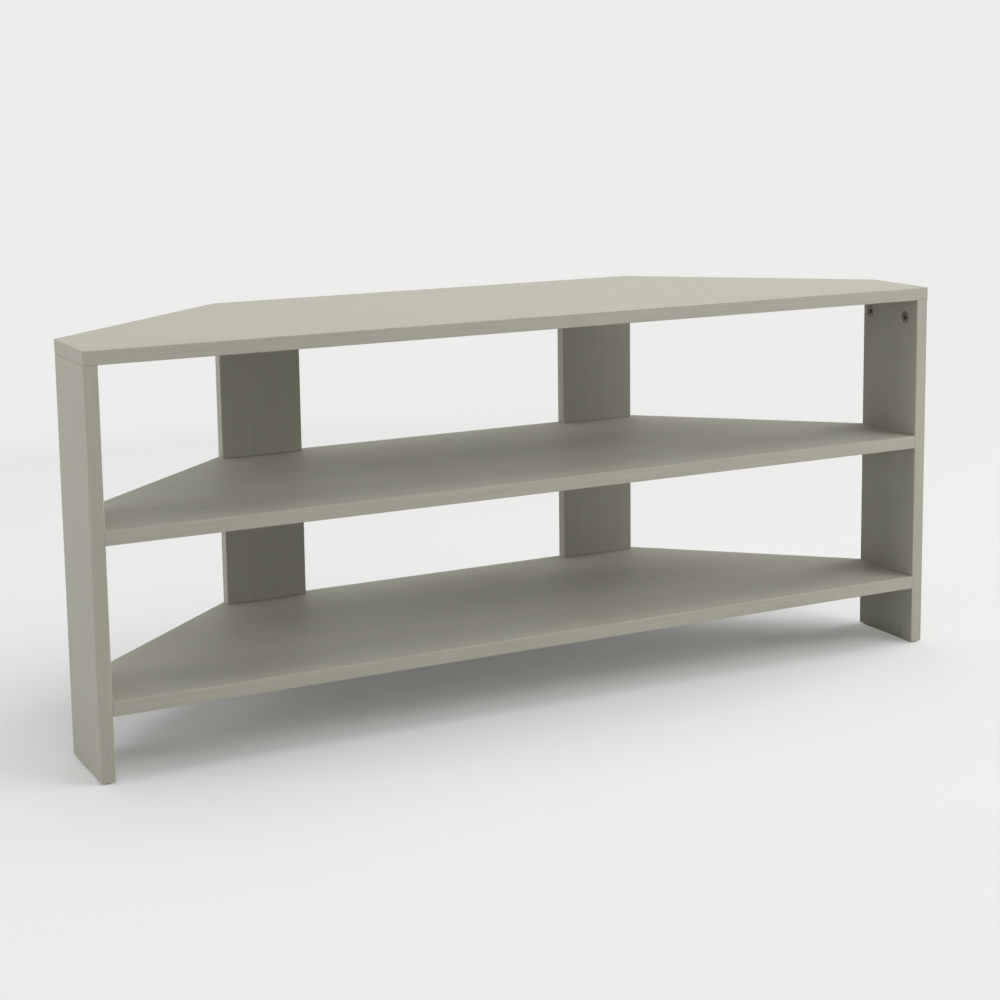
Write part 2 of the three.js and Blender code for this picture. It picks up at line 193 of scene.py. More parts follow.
class CamSizes(bpy.types.PropertyGroup):
    """Sizes and tone of the cam fittings"""
    radius: length("Radius", 7.5, "Radius of the cam")
    height: length("Height", 12.5, "Height of the cam")
    chamfer: length("Chamfer", 0.5, "Chamfer round both rims")
    bolt_level: length("Bolt level", 7.7, "Depth of the bolt's axis below the cam's face")
    chamber_radius: length("Chamber radius", 4.6, "Radius of the hollow round the bolt's head")
    chamber_throw: length("Chamber throw", 0.8, "How far the hollow is off the cam's centre")
    head_room: length("Head room", 3.7, "Half the width of the mouth that lets the bolt's head in")
    neck_room: length("Neck room", 2.3, "Half the width of the slot that the bolt's neck runs in")
    lock_angle: angle("Lock angle", math.radians(150), "Turn from the mouth to the locked bolt")
    run_on: angle("Run-on", math.radians(42), "How far the neck's slot runs on past the bolt")
    drive_length: length("Drive length", 9, "Length of the cross recess")
    drive_width: length("Drive width", 1.6, "Width of the cross recess")
    drive_depth: length("Drive depth", 2.4, "Depth of the cross recess")
    pit_radius: length("Pit radius", 2.3, "Radius of the pit in the middle of the cross recess")
    overrun: length("Overrun", 1, "How far cutting shapes run past the cam")
    facets: bpy.props.IntProperty(name="Facets", description="Facets round the cam", default=48, min=12)
    zinc: colour("Zinc", "868276", "Die-cast zinc")
    tarnish: colour("Tarnish", "67645A", "Duller zinc in the casting's hollows")


class SmallPartFinish(bpy.types.PropertyGroup):
    """Look of the bolts, dowels and glides"""
    plating: colour("Zinc plating", "C4C2BA", "Bright zinc plating on steel")
    plating_dull: colour("Dull plating", "A3A199", "Plating dulled by handling")
    beech: colour("Beech", "CDAE80", "Beech between the growth rings")
    beech_dark: colour("Beech, dark", "B08D5E", "Dark growth rings and flecks of beech")
    glide: colour("Glide", "908E84", "Moulded polyethylene")
    glide_scuffed: colour("Glide, scuffed", "A9A79E", "Polyethylene rubbed pale by the floor")
    turning: length("Turning marks", 0.35, "Spacing of the rings that turning leaves on a bolt")
    growth_ring: length("Growth rings", 1.4, "Spacing of the growth rings in beech")
    fleck: length("Fleck", 9, "Length of the flecks in beech")
    moulding: length("Moulding grain", 0.8, "Grain of the mould that the glides come from")


class StudioSettings(bpy.types.PropertyGroup):
    """Camera, floor and lamps"""
    camera_place: bpy.props.FloatVectorProperty(
        name="Camera", description="Place of the camera", default=(-1.10166, -2.22391, 0.76106),
        subtype="TRANSLATION", unit="LENGTH", precision=5)
    camera_yaw: angle("Yaw", 0.48641, "How far the camera looks to the right of straight back")
    camera_pitch: angle("Pitch", 0.15597, "How far the camera looks down")
    camera_roll: angle("Roll", 0.01006, "How far the camera is tilted")
    lens: bpy.props.FloatProperty(
        name="Lens", description="Focal length in mm on a 36 mm frame", default=72.979)
    shift_x: bpy.props.FloatProperty(
        name="Shift X", description="Sideways shift of the frame", default=-0.0405)
    shift_y: bpy.props.FloatProperty(
        name="Shift Y", description="Upward shift of the frame", default=-0.1195)
    floor: colour("Floor", "D8D8D7", "Painted floor")
    floor_mottle: colour("Floor, mottle", "D6D6D5", "Faint darker mottle of the painted floor")
    backdrop: colour("Backdrop", "EDEDEB", "What the camera sees beyond the floor")
    wash: bpy.props.FloatProperty(
        name="Wash", description="How much of the backdrop the camera sees on the floor under the stand",
        default=0.12, min=0, max=1)
    wash_beside: bpy.props.FloatProperty(
        name="Wash beside",
        description="How much of the backdrop the camera sees on the floor beside the stand",
        default=0.75, min=0, max=1)
    footprint: bpy.props.FloatVectorProperty(
        name="Footprint", description="Half the width and depth of the floor that keeps its full shadow",
        default=(0.42, 0.12, 0), subtype="XYZ", unit="LENGTH")
    ambient: bpy.props.FloatProperty(
        name="Ambient", description="Strength of the even light", default=0.15, min=0)


class StandSettings(bpy.types.PropertyGroup):
    """All settings of the stand"""
    boards: bpy.props.PointerProperty(type=BoardFinish, name="Boards", description="Look of the boards")
    cams: bpy.props.PointerProperty(type=CamSizes, name="Cams", description="Sizes and tone of the cams")
    small_parts: bpy.props.PointerProperty(
        type=SmallPartFinish, name="Small parts", description="Bolts, dowels, glides")
    studio: bpy.props.PointerProperty(
        type=StudioSettings, name="Studio", description="Camera, floor and lamps")


def add_node(tree, kind, inputs=(), **settings):
    """Adds a node, sets its properties, and sets or links its inputs, given in order or by name or number.
    A node as an input stands for its first output, and a list for several links to one input."""
    node = tree.nodes.new(kind)
    for key, value in settings.items():
        setattr(node, key, value)
    for key, value in inputs.items() if isinstance(inputs, dict) else enumerate(inputs):
        for source in value if isinstance(value, list) else [value]:
            if isinstance(source, bpy.types.Node):
                source = source.outputs[0]
            if isinstance(source, bpy.types.NodeSocket):
                tree.links.new(source, node.inputs[key])
            else:
                node.inputs[key].default_value = source
    return node


def rgba(rgb):
    return (*rgb, 1)


def new_material(name):
    """An empty node material, its tree, and the place on the object, in metres."""
    material = bpy.data.materials.new(name)
    material.use_nodes = True
    material.node_tree.nodes.clear()
    place = add_node(material.node_tree, "ShaderNodeTexCoord").outputs["Object"]
    return material, material.node_tree, place


def cells(tree, place, size, detail=2.0, roughness=0.5):
    """Pattern from 0 to 1 whose cells have the given sizes in metres along X, Y and Z."""
    scale = tuple(1 / cell for cell in size)
    scaled = add_node(tree, "ShaderNodeMapping", {"Vector": place, "Scale": scale})
    return add_node(tree, "ShaderNodeTexNoise", {
        "Vector": scaled, "Scale": 1, "Detail": detail, "Roughness": roughness})


def cell_sizes(along, across_size, along_size):
    """Cell sizes on X, Y and Z, with one size along an axis and another across it."""
    return tuple(along_size if axis else across_size for axis in along)


def finish_nodes(material, names):
    """Gives the material to the solids with these names."""
    for name in names:
        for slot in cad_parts[name].material_slots:
            slot.material = material


def both_sides(names):
    """The same names for the left and the right side."""
    return [f"{side}_{name}" for side in ("left", "right") for name in names]


def printed_tone(tree, streak, speckle, cloud):
    """Tone of the printed paper, from 0 to 1: mostly streaks, with a little speckle and slow change."""
    tone = add_node(tree, MATH, (streak, STREAK_SHARE), operation="MULTIPLY")
    tone = add_node(tree, MATH, (speckle, SPECKLE_SHARE, tone), operation="MULTIPLY_ADD")
    tone = add_node(tree, MATH, (cloud, CLOUD_SHARE, tone), operation="MULTIPLY_ADD")
    return add_node(tree, RANGE, (tone, *PRINT_STRETCH))


def melamine_board(name, through, along, look):
    """Melamine-faced particle board: printed paper pressed under a matt plate, with a matching edge band.
    It gives a dense, nearly even tone with faint streaks along the board and along its band, a soft sheen,
    and slightly paler edges, partly rubbed and partly a painted highlight."""
    material, tree, place = new_material(name)
    normal = add_node(tree, "ShaderNodeTexCoord").outputs["Normal"]
    facing = add_node(tree, VECTOR, (normal, tuple(through)), operation="DOT_PRODUCT").outputs["Value"]
    facing = add_node(tree, MATH, (facing,), operation="ABSOLUTE")
    band = add_node(tree, MATH, (facing, BAND_BELOW), operation="LESS_THAN")
    arris = add_node(tree, MATH, (facing, ARRIS_MIDDLE, ARRIS_REACH), operation="COMPARE")

    streak_cell = cell_sizes(along, look.streak_width, look.streak_length)
    streak = cells(tree, place, streak_cell, detail=3.0, roughness=0.6)
    band_way = add_node(tree, VECTOR, (normal, tuple(through)), operation="CROSS_PRODUCT")
    along_band = add_node(tree, VECTOR, (place, band_way), operation="DOT_PRODUCT").outputs["Value"]
    across_band = add_node(tree, VECTOR, (place, tuple(through)), operation="DOT_PRODUCT").outputs["Value"]
    on_band = add_node(tree, XYZ, (along_band, across_band, 0))
    band_cell = (look.streak_length, look.streak_width, 1)
    band_streak = cells(tree, on_band, band_cell, detail=3.0, roughness=0.6)
    speckle = cells(tree, place, (look.speckle,) * 3, detail=1.0)
    cloud = cells(tree, place, (look.cloud,) * 3)
    face_tone = printed_tone(tree, streak, speckle, cloud)
    band_tone = printed_tone(tree, band_streak, speckle, cloud)
    face = add_node(tree, MIX, {
        SHARE: face_tone, FIRST: rgba(look.shade_dark), SECOND: rgba(look.shade_light)}, data_type="RGBA")
    edge = add_node(tree, MIX, {
        SHARE: band_tone, FIRST: rgba(look.band_dark), SECOND: rgba(look.band_light)}, data_type="RGBA")
    tint = add_node(tree, MIX, {
        SHARE: band, FIRST: face.outputs[MIXED], SECOND: edge.outputs[MIXED]}, data_type="RGBA")

    # Paler eased edges in rubbed stretches: partly wear, partly a painted highlight along the edge
    rub_and_highlight = cells(tree, place, (look.rub_and_highlight,) * 3, detail=3.0, roughness=0.65)
    rub_and_highlight = add_node(tree, RANGE, (rub_and_highlight, *RUB_STRETCH, *EDGE_WEAR_AND_HIGHLIGHT))
    rub_and_highlight = add_node(tree, MATH, (rub_and_highlight, arris), operation="MULTIPLY")
    tint = add_node(tree, MIX, {
        SHARE: rub_and_highlight, FIRST: tint.outputs[MIXED], SECOND: rgba(look.worn_highlit_edge)}, data_type="RGBA")
    sheen = add_node(tree, RANGE, (cloud, *CLOUD_STRETCH, *BOARD_ROUGHNESS))
    sheen = add_node(tree, MATH, (rub_and_highlight, WEAR_ROUGHER, sheen), operation="MULTIPLY_ADD")
    relief = add_node(tree, MATH, (streak, STREAK_RELIEF, speckle), operation="MULTIPLY_ADD")
    bump = add_node(tree, BUMP, {"Height": relief, "Strength": 0.35, "Distance": 0.06 * MM})
    shader = add_node(tree, SURFACE, {
        "Base Color": tint.outputs[MIXED], "Roughness": sheen, "IOR": 1.5, "Specular IOR Level": 0.12,
        "Normal": bump})
    add_node(tree, "ShaderNodeOutputMaterial", (shader,))
    return material


def cast_zinc(look):
    """Die-cast zinc: a grey metal skin, dull from the die, with a fine grain and darker hollows."""
    material, tree, place = new_material("die_cast_zinc")
    flow = cells(tree, place, (ZINC_FLOW,) * 3, detail=3.0, roughness=0.6)
    flow = add_node(tree, RANGE, (flow, *METAL_STRETCH))
    grain = cells(tree, place, (ZINC_GRAIN,) * 3, detail=1.0)
    tint = add_node(tree, MIX, {
        SHARE: flow, FIRST: rgba(look.tarnish), SECOND: rgba(look.zinc)}, data_type="RGBA")
    dullness = add_node(tree, MATH, (grain, ZINC_ROUGHER, ZINC_ROUGHNESS), operation="MULTIPLY_ADD")
    bump = add_node(tree, BUMP, {"Height": grain, "Strength": 0.3, "Distance": 0.03 * MM})
    shader = add_node(tree, SURFACE, {
        "Base Color": tint.outputs[MIXED], "Metallic": 1, "Roughness": dullness, "Normal": bump})
    add_node(tree, "ShaderNodeOutputMaterial", (shader,))
    return material


def plated_steel(name, along, look):
    """Turned steel with bright zinc plating: rings from the lathe under a thin, slightly uneven coat."""
    material, tree, place = new_material(name)
    ring_cell = cell_sizes(along, TURNING_LENGTHS * look.turning, look.turning)
    rings = cells(tree, place, ring_cell, detail=2.0, roughness=0.6)
    coat = cells(tree, place, (COAT_PATCH,) * 3)
    coat = add_node(tree, RANGE, (coat, *METAL_STRETCH))
    tint = add_node(tree, MIX, {
        SHARE: coat, FIRST: rgba(look.plating_dull), SECOND: rgba(look.plating)}, data_type="RGBA")
    dullness = add_node(tree, MATH, (rings, PLATING_ROUGHER, PLATING_ROUGHNESS), operation="MULTIPLY_ADD")
    bump = add_node(tree, BUMP, {"Height": rings, "Strength": 0.4, "Distance": 0.03 * MM})
    shader = add_node(tree, SURFACE, {
        "Base Color": tint.outputs[MIXED], "Metallic": 1, "Roughness": dullness, "Normal": bump})
    add_node(tree, "ShaderNodeOutputMaterial", (shader,))
    return material


def beech_wood(name, along, look):
    """Dry beech: pale wood with fine growth rings and short dark flecks along the dowel, and no lacquer."""
    material, tree, place = new_material(name)
    ring_cell = cell_sizes(along, look.growth_ring, RING_LENGTHS * look.growth_ring)
    rings = cells(tree, place, ring_cell, detail=3.0, roughness=0.6)
    flecks = cells(tree, place, cell_sizes(along, FLECK_WIDTH, look.fleck))
    figure = add_node(tree, MATH, (rings, flecks), operation="ADD")
    figure = add_node(tree, RANGE, (figure, *BEECH_STRETCH))
    tint = add_node(tree, MIX, {
        SHARE: figure, FIRST: rgba(look.beech_dark), SECOND: rgba(look.beech)}, data_type="RGBA")
    dullness = add_node(tree, MATH, (flecks, BEECH_ROUGHER, BEECH_ROUGHNESS), operation="MULTIPLY_ADD")
    bump = add_node(tree, BUMP, {"Height": flecks, "Strength": 0.4, "Distance": 0.05 * MM})
    shader = add_node(tree, SURFACE, {
        "Base Color": tint.outputs[MIXED], "Roughness": dullness, "IOR": 1.45, "Normal": bump})
    add_node(tree, "ShaderNodeOutputMaterial", (shader,))
    return material


def moulded_polyethylene(look):
    """Moulded polyethylene: waxy grey plastic with the mould's fine grain, rubbed pale near the floor."""
    material, tree, place = new_material("moulded_polyethylene")
    grain = cells(tree, place, (look.moulding,) * 3)
    height = add_node(tree, "ShaderNodeSeparateXYZ", (place,)).outputs["Z"]
    low = add_node(tree, RANGE, (height, SCUFF_FULL, SCUFF_NONE, 1, 0))
    scuffs = cells(tree, place, SCUFF, detail=3.0, roughness=0.7)
    rubbed = add_node(tree, MATH, (low, scuffs), operation="MULTIPLY")
    rubbed = add_node(tree, MATH, (grain, GRAIN_IN_SCUFFS, rubbed), operation="MULTIPLY_ADD")
    tint = add_node(tree, MIX, {
        SHARE: rubbed, FIRST: rgba(look.glide), SECOND: rgba(look.glide_scuffed)}, data_type="RGBA")
    dullness = add_node(tree, MATH, (rubbed, GLIDE_ROUGHER, GLIDE_ROUGHNESS), operation="MULTIPLY_ADD")
    bump = add_node(tree, BUMP, {"Height": grain, "Strength": 0.3, "Distance": 0.05 * MM})
    shader = add_node(tree, SURFACE, {
        "Base Color": tint.outputs[MIXED], "Roughness": dullness, "IOR": 1.51, "Normal": bump})
    add_node(tree, "ShaderNodeOutputMaterial", (shader,))
    return material


class FinishBoards(bpy.types.Operator):
    """Give the boards their melamine faces and edge bands"""
    bl_idname = "corner_stand.finish_boards"
    bl_label = "Boards"

    def execute(self, context):
        look = context.scene.corner_stand.boards
        for name, (through, along, boards) in BOARDS.items():
            finish_nodes(melamine_board(f"melamine_board_{name}", through, along, look), boards)
        return {"FINISHED"}


class FinishBolts(bpy.types.Operator):
    """Give the bolts their plated steel"""
    bl_idname = "corner_stand.finish_bolts"
    bl_label = "Bolts"

    def execute(self, context):
        look = context.scene.corner_stand.small_parts
        finish_nodes(plated_steel("plated_steel_upright", Z, look), both_sides(UPRIGHT_BOLTS))
        finish_nodes(plated_steel("plated_steel_lying", X, look), both_sides(LYING_BOLTS))
        return {"FINISHED"}


class FinishDowels(bpy.types.Operator):
    """Give the dowels their beech"""
    bl_idname = "corner_stand.finish_dowels"
    bl_label = "Dowels"

    def execute(self, context):
        look = context.scene.corner_stand.small_parts
        finish_nodes(beech_wood("beech_upright", Z, look), both_sides(UPRIGHT_DOWELS))
        finish_nodes(beech_wood("beech_lying", X, look), both_sides(LYING_DOWELS))
        return {"FINISHED"}


class FinishGlides(bpy.types.Operator):
    """Give the glides their moulded plastic"""
    bl_idname = "corner_stand.finish_glides"
    bl_label = "Glides"

    def execute(self, context):
        look = context.scene.corner_stand.small_parts
        finish_nodes(moulded_polyethylene(look), both_sides(GLIDES))
        return {"FINISHED"}


def cam_fittings_tree():
    """Geometry Nodes tree that cuts one cam from its sizes and sets it on every seat.
    The cam is made with its face at height 0 and the bolt coming in from +Y."""
    tree = bpy.data.node_groups.new("cam_fittings", "GeometryNodeTree")
    sizes = (
        "Radius", "Height", "Chamfer", "Bolt Level", "Chamber Radius", "Chamber Throw", "Head Room",
        "Neck Room", "Lock Angle", "Run On", "Drive Length", "Drive Width", "Drive Depth", "Pit Radius",
        "Overrun")
    tree.interface.new_socket(name="Seats", in_out="INPUT", socket_type="NodeSocketGeometry")
    for name in sizes:
        tree.interface.new_socket(name=name, in_out="INPUT", socket_type="NodeSocketFloat")
    tree.interface.new_socket(name="Facets", in_out="INPUT", socket_type="NodeSocketInt")
    tree.interface.new_socket(name="Zinc", in_out="INPUT", socket_type="NodeSocketMaterial")
    tree.interface.new_socket(name="Cams", in_out="OUTPUT", socket_type="NodeSocketGeometry")
    given = add_node(tree, "NodeGroupInput").outputs

    cutters = [
        cam_chamber(tree, given), cam_mouth(tree, given), cam_neck_slot(tree, given),
        *cam_drive(tree, given)]
    cam = add_node(tree, "GeometryNodeMeshBoolean", {
        "Mesh 1": cam_blank(tree, given), "Mesh 2": cutters}, operation="DIFFERENCE", solver="EXACT")
    turn = add_node(tree, "GeometryNodeInputNamedAttribute", {"Name": "turn"}, data_type="FLOAT_VECTOR")
    placed = add_node(tree, "GeometryNodeInstanceOnPoints", {
        "Points": given["Seats"], "Instance": cam, "Rotation": turn})
    real = add_node(tree, "GeometryNodeRealizeInstances", {"Geometry": placed})
    finished = add_node(tree, "GeometryNodeSetMaterial", {"Geometry": real, "Material": given["Zinc"]})
    add_node(tree, "NodeGroupOutput", {"Cams": finished})
    return tree


def moved(tree, mesh, translation=(0, 0, 0), rotation=(0, 0, 0)):
    """The mesh turned and then moved; both may hold nodes."""
    return add_node(tree, "GeometryNodeTransform", {
        "Geometry": mesh, "Translation": add_node(tree, XYZ, translation),
        "Rotation": add_node(tree, XYZ, rotation)})


def cam_blank(tree, given):
    """Cylinder whose end rings are drawn in, and its inner rings pushed out, to chamfer both rims."""
    cylinder = add_node(tree, "GeometryNodeMeshCylinder", {
        "Vertices": given["Facets"], "Side Segments": 3, "Radius": given["Radius"], "Depth": given["Height"],
    }, fill_type="NGON")
    along = add_node(tree, "ShaderNodeSeparateXYZ", (add_node(tree, "GeometryNodeInputPosition"),)).outputs
    level = add_node(tree, MATH, (along["Z"],), operation="ABSOLUTE")
    third = add_node(tree, MATH, (given["Height"], 3), operation="DIVIDE")
    rim = add_node(tree, MATH, (level, third), operation="GREATER_THAN")
    within = add_node(tree, MATH, (1, rim), operation="SUBTRACT")
    drop = add_node(tree, MATH, (within, given["Chamfer"]), operation="MULTIPLY")
    half = add_node(tree, MATH, (given["Height"], 0.5), operation="MULTIPLY")
    level = add_node(tree, MATH, (half, drop), operation="SUBTRACT")
    way = add_node(tree, MATH, (along["Z"],), operation="SIGN")
    level = add_node(tree, MATH, (way, level), operation="MULTIPLY")
    level = add_node(tree, MATH, (level, half), operation="SUBTRACT")
    narrow = add_node(tree, MATH, (given["Chamfer"], given["Radius"]), operation="DIVIDE")
    narrow = add_node(tree, MATH, (rim, narrow), operation="MULTIPLY")
    narrow = add_node(tree, MATH, (1, narrow), operation="SUBTRACT")
    across = [add_node(tree, MATH, (along[axis], narrow), operation="MULTIPLY") for axis in "XY"]
    return add_node(tree, "GeometryNodeSetPosition", {
        "Geometry": cylinder, "Position": add_node(tree, XYZ, (*across, level))})


def cam_chamber(tree, given):
    """Eccentric hollow that draws in the bolt's head as the cam turns."""
    width = add_node(tree, MATH, (given["Head Room"], 2), operation="MULTIPLY")
    hollow = add_node(tree, "GeometryNodeMeshCylinder", {
        "Vertices": given["Facets"], "Radius": given["Chamber Radius"], "Depth": width}, fill_type="NGON")
    throw = add_node(tree, MATH, (given["Chamber Throw"], -1), operation="MULTIPLY")
    level = add_node(tree, MATH, (given["Bolt Level"], -1), operation="MULTIPLY")
    return moved(tree, hollow, (0, throw, level))


def cam_mouth(tree, given):
    """Opening in the cam's side that lets the bolt's head in before the cam is turned."""
    width = add_node(tree, MATH, (given["Head Room"], 2), operation="MULTIPLY")
    reach = add_node(tree, MATH, (given["Radius"], given["Overrun"]), operation="ADD")
    block = add_node(tree, "GeometryNodeMeshCube", {"Size": add_node(tree, XYZ, (width, reach, width))})
    outward = add_node(tree, MATH, (reach, 0.5), operation="MULTIPLY")
    level = add_node(tree, MATH, (given["Bolt Level"], -1), operation="MULTIPLY")
    return moved(tree, moved(tree, block, (0, outward, 0)), (0, 0, level), (0, 0, given["Lock Angle"]))


def cam_neck_slot(tree, given):
    """Slot round the cam's side that the bolt's neck runs in."""
    reach = add_node(tree, MATH, (given["Radius"], given["Overrun"]), operation="ADD")
    start = add_node(tree, MATH, (math.pi / 2, given["Run On"]), operation="SUBTRACT")
    sweep = add_node(tree, MATH, (given["Run On"], given["Lock Angle"]), operation="ADD")
    arc = add_node(tree, "GeometryNodeCurveArc", {
        "Resolution": given["Facets"], "Radius": reach, "Start Angle": start, "Sweep Angle": sweep,
        "Connect Center": True}, mode="RADIUS")
    sector = add_node(tree, "GeometryNodeFillCurve", {"Curve": arc})
    width = add_node(tree, MATH, (given["Neck Room"], 2), operation="MULTIPLY")
    raised = add_node(tree, "GeometryNodeExtrudeMesh", {
        "Mesh": sector, "Offset Scale": width, "Individual": False})
    base = add_node(tree, "GeometryNodeFlipFaces", {"Mesh": sector})
    both = add_node(tree, "GeometryNodeJoinGeometry", {"Geometry": [raised, base]})
    closed = add_node(tree, "GeometryNodeMergeByDistance", {"Geometry": both, "Distance": SAME_POINT})
    low = add_node(tree, MATH, (given["Bolt Level"], given["Neck Room"]), operation="ADD")
    return moved(tree, closed, (0, 0, add_node(tree, MATH, (low, -1), operation="MULTIPLY")))


def cam_drive(tree, given):
    """Cross recess for the screwdriver, with a cone-shaped pit in its middle."""
    height = add_node(tree, MATH, (given["Drive Depth"], given["Overrun"]), operation="ADD")
    size = add_node(tree, XYZ, (given["Drive Length"], given["Drive Width"], height))
    blade = add_node(tree, "GeometryNodeMeshCube", {"Size": size})
    level = add_node(tree, MATH, (given["Overrun"], given["Drive Depth"]), operation="SUBTRACT")
    level = add_node(tree, MATH, (level, 0.5), operation="MULTIPLY")
    across = add_node(tree, MATH, (given["Lock Angle"], math.pi / 2), operation="ADD")
    blades = [moved(tree, blade, (0, 0, level), (0, 0, turn)) for turn in (given["Lock Angle"], across)]
    pit = add_node(tree, "GeometryNodeMeshCone", {
        "Vertices": PIT_FACETS, "Radius Top": given["Pit Radius"], "Radius Bottom": given["Drive Width"],
        "Depth": height}, fill_type="NGON")
    floor_level = add_node(tree, MATH, (given["Drive Depth"], -1), operation="MULTIPLY")
    return [*blades, moved(tree, pit, (0, 0, floor_level))]


def directions(sign):
    """Named ways, for a piece on the side of the stand with this sign."""
    return {"inward": X * -sign, "down": -Z, "up": Z, "back": Y}


def cam_seats():
    """Where each cam's face lies and how the cam is turned, from the box of the solid that it replaces."""
    places, turns, names = [], [], []
    for side, sign in (("left", -1), ("right", 1)):
        ways = directions(sign)
        for joint, (face_way, edge_way) in CAMS.items():
            face, edge = ways[face_way], ways[edge_way]
            low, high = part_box(f"{side}_{joint}")
            middle, half = (low + high) / 2, (high - low) / 2
            places.append(middle + face * abs(half.dot(face)))
            # The cam is cut with its face along Z and the bolt along +Y, so -Y points into the edge
            turns.append(Matrix((face.cross(edge), -edge, face)).transposed().to_euler())
            names.append(f"{side}_{joint}")
    return places, turns, names


def set_inputs(modifier, values):
    """Sets a Geometry Nodes modifier's inputs by their sockets' identifiers."""
    for socket in modifier.node_group.interface.items_tree:
        if socket.item_type == "SOCKET" and socket.in_out == "INPUT" and socket.name in values:
            modifier[socket.identifier] = values[socket.name]


def settle(piece):
    """Turns the modifiers' result into a plain mesh."""
    depsgraph = bpy.context.evaluated_depsgraph_get()
    mesh = bpy.data.meshes.new_from_object(piece.evaluated_get(depsgraph), depsgraph=depsgraph)
    piece.modifiers.clear()
    piece.data = mesh
    mesh.shade_smooth()
    mesh.set_sharp_from_angle(angle=SMOOTH_BELOW)


class MakeCams(bpy.types.Operator):
    """Cut the cams and set them in their bores"""
    bl_idname = "corner_stand.make_cams"
    bl_label = "Cams"

    def execute(self, context):
        sizes = context.scene.corner_stand.cams
        places, turns, names = cam_seats()
        seats = bpy.data.meshes.new("cams")
        seats.from_pydata(places, [], [])
        turn = seats.attributes.new("turn", "FLOAT_VECTOR", "POINT")
        turn.data.foreach_set("vector", [value for euler in turns for value in euler])
        cams = bpy.data.objects.new("cams", seats)
        context.scene.collection.objects.link(cams)
        modifier = cams.modifiers.new("cams", "NODES")
        modifier.node_group = cam_fittings_tree()
        set_inputs(modifier, {
            "Radius": sizes.radius, "Height": sizes.height, "Chamfer": sizes.chamfer,
            "Bolt Level": sizes.bolt_level, "Chamber Radius": sizes.chamber_radius,
            "Chamber Throw": sizes.chamber_throw,
            "Head Room": sizes.head_room, "Neck Room": sizes.neck_room, "Lock Angle": sizes.lock_angle,
            "Run On": sizes.run_on, "Drive Length": sizes.drive_length, "Drive Width": sizes.drive_width,
            "Drive Depth": sizes.drive_depth, "Pit Radius": sizes.pit_radius, "Overrun": sizes.overrun,
            "Facets": sizes.facets, "Zinc": cast_zinc(sizes),
        })
        settle(cams)
        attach(cams, "root")
        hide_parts(*names)
        return {"FINISHED"}


def painted_floor(look):
    """Matt floor paint: pale and even, with a faint mottle. The further from the stand, the more of the
    backdrop the camera sees in its place, so that the shadow is full under the stand and thin beside it."""
    material, tree, place = new_material("matt_floor_paint")
    mottle = cells(tree, place, (FLOOR_MOTTLE,) * 3, detail=3.0)
    tint = add_node(tree, MIX, {
        SHARE: mottle, FIRST: rgba(look.floor_mottle), SECOND: rgba(look.floor)}, data_type="RGBA")
    paint = add_node(tree, "ShaderNodeBsdfDiffuse", {"Color": tint.outputs[MIXED]})
    beside = add_node(tree, VECTOR, (place,), operation="ABSOLUTE")
    beside = add_node(tree, VECTOR, (beside, tuple(look.footprint)), operation="SUBTRACT")
    beside = add_node(tree, VECTOR, (beside, (0, 0, 0)), operation="MAXIMUM")
    beside = add_node(tree, VECTOR, (beside,), operation="LENGTH").outputs["Value"]
    beside = add_node(tree, RANGE, (
        beside, 0, SHADOW_FADE, look.wash, look.wash_beside), interpolation_type="SMOOTHSTEP")
    distance = add_node(tree, VECTOR, (place,), operation="LENGTH").outputs["Value"]
    away = add_node(tree, RANGE, (distance, FADE_START, FADE_END), interpolation_type="SMOOTHSTEP")
    away = add_node(tree, MATH, (away, beside), operation="MAXIMUM")
    fade = add_node(tree, MATH, (away, backdrop_rays(tree)), operation="MULTIPLY")
    shown = add_node(tree, "ShaderNodeMixShader", (fade, paint, add_node(tree, "ShaderNodeBsdfTransparent")))
    add_node(tree, "ShaderNodeOutputMaterial", (shown,))
    return material


def backdrop_rays(tree):
    """1 for rays that show the backdrop: straight from the camera, mirrored or through glass."""
    rays = add_node(tree, "ShaderNodeLightPath").outputs
    seen = add_node(tree, MATH, (rays["Is Camera Ray"], rays["Is Glossy Ray"]), operation="MAXIMUM")
    return add_node(tree, MATH, (seen, rays["Is Transmission Ray"]), operation="MAXIMUM")


def studio_world(look):
    """World that lights evenly and shows the pale backdrop."""
    world = bpy.data.worlds.new("studio_world")
    world.use_nodes = True
    tree = world.node_tree
    tree.nodes.clear()
    light = add_node(tree, "ShaderNodeBackground", {"Color": (1, 1, 1, 1), "Strength": look.ambient})
    backdrop = add_node(tree, "ShaderNodeBackground", {"Color": rgba(look.backdrop), "Strength": 1})
    shown = add_node(tree, "ShaderNodeMixShader", (backdrop_rays(tree), light, backdrop))
    add_node(tree, "ShaderNodeOutputWorld", (shown,))
    return world


# Softboxes: place, aim, width, height and power in watts
SOFTBOXES = {
    "overhead_softbox": ((0, 0.3, 2.6), (0, 0, 0.3), 3.0, 3.0, 49.0),
    "front_right_softbox": ((2.1, -2.4, 2.75), (0, 0, 0.25), 1.8, 1.8, 61.0),
    "front_left_softbox": ((-1.6, -3, 1.8), (0, 0, 0.25), 2.0, 1.6, 17.5),
    "left_softbox": ((-2.8, 0.2, 1), (0, 0, 0.25), 1.5, 1.0, 28.0),
    "right_softbox": ((3.8, 0.4, 3), (0, 0, 0.25), 2.2, 2.2, 52.5),
    "low_right_softbox": ((3.5, -0.6, 0.8), (0, 0, 0.25), 3.4, 1.0, 78.0),
    "low_front_right_softbox": ((3.2, -1.7, 0.8), (0, 0, 0.25), 0.9, 0.9, 9.0),
    "back_softbox": ((0, 3, 0.25), (0, 0, 0.2), 2.5, 0.4, 8.0),
}


